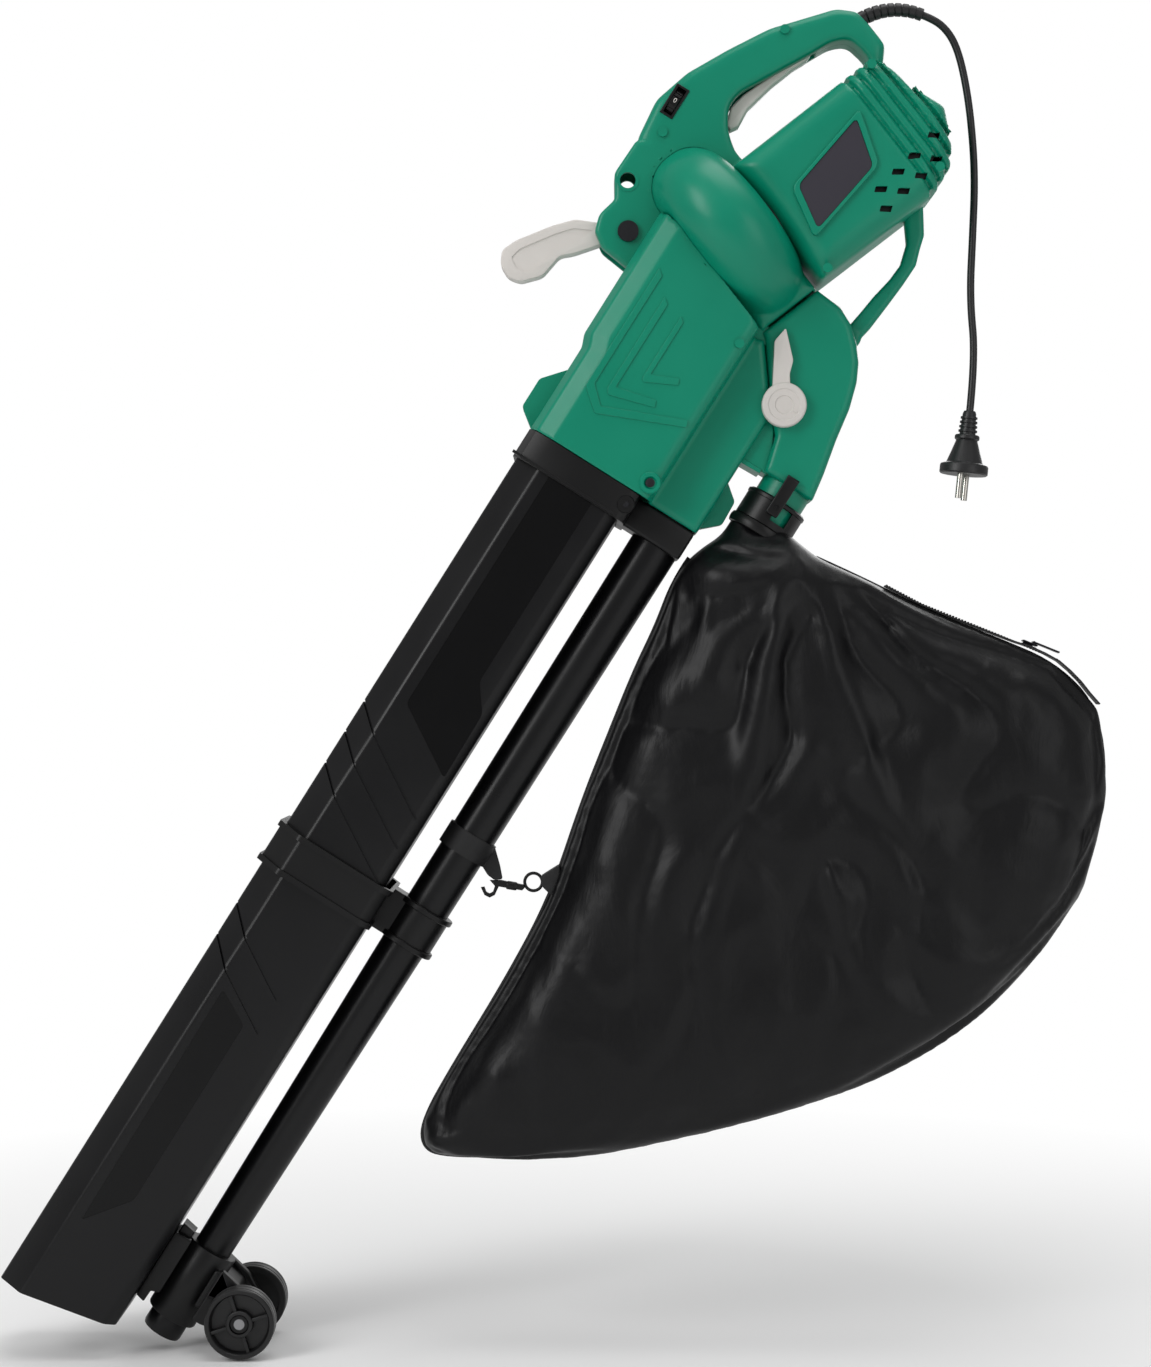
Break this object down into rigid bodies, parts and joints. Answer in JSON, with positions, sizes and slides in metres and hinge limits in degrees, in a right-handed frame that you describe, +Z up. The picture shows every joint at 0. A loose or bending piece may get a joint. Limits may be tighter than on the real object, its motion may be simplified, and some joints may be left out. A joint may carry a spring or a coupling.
{
  "type": "leaf blower",
  "caption": "Corded garden leaf blower and vacuum with looped hand grip, side motor, twin straight tubes on wheels, mode flap, collecting bag and short power lead.",
  "frame": {"origin": "middle of the hand grip, by which the machine is held", "axes": "+Z up as the machine hangs from the hand, +X from the tubes' mouth towards the bag, +Y towards the far side; the tubes lean 32.2 degrees from upright"},
  "size_m": [0.8455, 0.1512, 1.0317],
  "materials": {
    "green_abs": "satin moulded ABS",
    "black_pp": "satin moulded polypropylene",
    "black_trim": "matt moulded nylon",
    "light_grey": "satin moulded ABS",
    "badge_grey": "gloss panel",
    "bag_cloth": "coated woven nylon",
    "webbing": "woven polypropylene",
    "zip_tape": "woven tape with nylon coil",
    "cord_pvc": "soft PVC",
    "steel": "zinc plated steel",
    "laminations": "varnished steel laminations",
    "copper": "enamelled copper wire",
    "brass": "pressed brass",
    "carbon": "carbon graphite",
    "wheel_rubber": "moulded polypropylene"
  },
  "bodies": {
    "machine": {"housing_left": "green_abs", "housing_right": "green_abs", "fan_case_left": "green_abs", "fan_case_right": "green_abs", "duct_left": "green_abs", "duct_right": "green_abs", "outlet_elbow": "green_abs", "guard_bar": "green_abs", "badge_panels": "badge_grey", "case_screws": "steel", "power_switch": "black_trim", "trigger_pin": "steel", "strain_relief": "cord_pvc", "power_cord": "cord_pvc", "plug_body": "cord_pvc", "plug_pins": "brass", "assist_bolt": "steel", "motor_mount": "black_trim", "stator_core": "laminations", "field_coils": "copper", "upper_bearing": "steel", "lower_bearing": "steel", "brush_holders": "brass", "carbon_brushes": "carbon", "end_bracket": "black_trim", "tube_collar": "black_pp", "vacuum_tube_upper": "black_pp", "vacuum_tube_lower": "black_pp", "blower_tube_upper": "black_pp", "blower_tube_lower": "black_pp", "blower_nozzle": "black_pp", "joint_clip": "black_pp", "bottom_bracket": "black_pp", "wheel_axle": "steel", "axle_caps": "black_trim", "bag_collar": "black_trim", "collecting_bag": "bag_cloth", "zipper": "zip_tape", "zipper_slider": "steel", "tube_strap": "webbing", "snap_hook": "black_trim", "strap_ring": "black_trim", "bag_strap": "webbing"},
    "trigger_lever": {"trigger": "light_grey"},
    "dial": {"speed_dial": "black_trim"},
    "side_handle": {"assist_handle": "light_grey"},
    "selector": {"mode_knob": "light_grey", "mode_flap": "black_trim"},
    "rotor": {"motor_shaft": "steel", "armature_core": "laminations", "armature_windings": "copper", "commutator": "copper", "cooling_fan": "black_trim", "impeller": "black_trim", "impeller_nut": "steel"},
    "left_wheel": {"wheel_left": "wheel_rubber"},
    "right_wheel": {"wheel_right": "wheel_rubber"},
    "latch": {"bag_latch": "black_trim"},
    "puller": {"zipper_pull": "steel"}
  },
  "joints": [
    {"name": "trigger_pull", "type": "hinge", "parent": "machine", "child": "trigger_lever", "pos_m": [0.00993, 0, -0.00862], "axis": [0, 1, 0], "range_deg": [0, 4.5], "stiffness_Nm_per_rad": 1.5, "springref_deg": -8.59},
    {"name": "speed_turn", "type": "hinge", "parent": "machine", "child": "dial", "pos_m": [-0.08926, -0.0065, -0.0466], "axis": [0.8462, 0, -0.5329], "range_deg": [-130, 130]},
    {"name": "side_handle_swing", "type": "hinge", "parent": "machine", "child": "side_handle", "pos_m": [-0.12494, 0, -0.14586], "axis": [0, 1, 0], "range_deg": [-30, 35]},
    {"name": "mode_turn", "type": "hinge", "parent": "machine", "child": "selector", "pos_m": [-0.00688, 0, -0.27929], "axis": [0, 1, 0], "range_deg": [0, 85]},
    {"name": "rotor_spin", "type": "hinge", "parent": "machine", "child": "rotor", "pos_m": [0.05849, 0, -0.07486], "axis": [0.788, 0, 0.6157], "continuous": true},
    {"name": "left_wheel_roll", "type": "hinge", "parent": "machine", "child": "left_wheel", "pos_m": [-0.41766, -0.0375, -0.97193], "axis": [0, 1, 0], "continuous": true},
    {"name": "right_wheel_roll", "type": "hinge", "parent": "machine", "child": "right_wheel", "pos_m": [-0.41766, 0.0375, -0.97193], "axis": [0, 1, 0], "continuous": true},
    {"name": "latch_lift", "type": "hinge", "parent": "machine", "child": "latch", "pos_m": [-0.0004, -0.0266, -0.33655], "axis": [-0.8462, 0, 0.5329], "range_deg": [0, 10], "stiffness_Nm_per_rad": 0.2, "springref_deg": -8.59},
    {"name": "zipper_pull_flip", "type": "hinge", "parent": "machine", "child": "puller", "pos_m": [0.18721, 0, -0.45865], "axis": [0, -1, 0], "range_deg": [0, 120]}
  ]
}
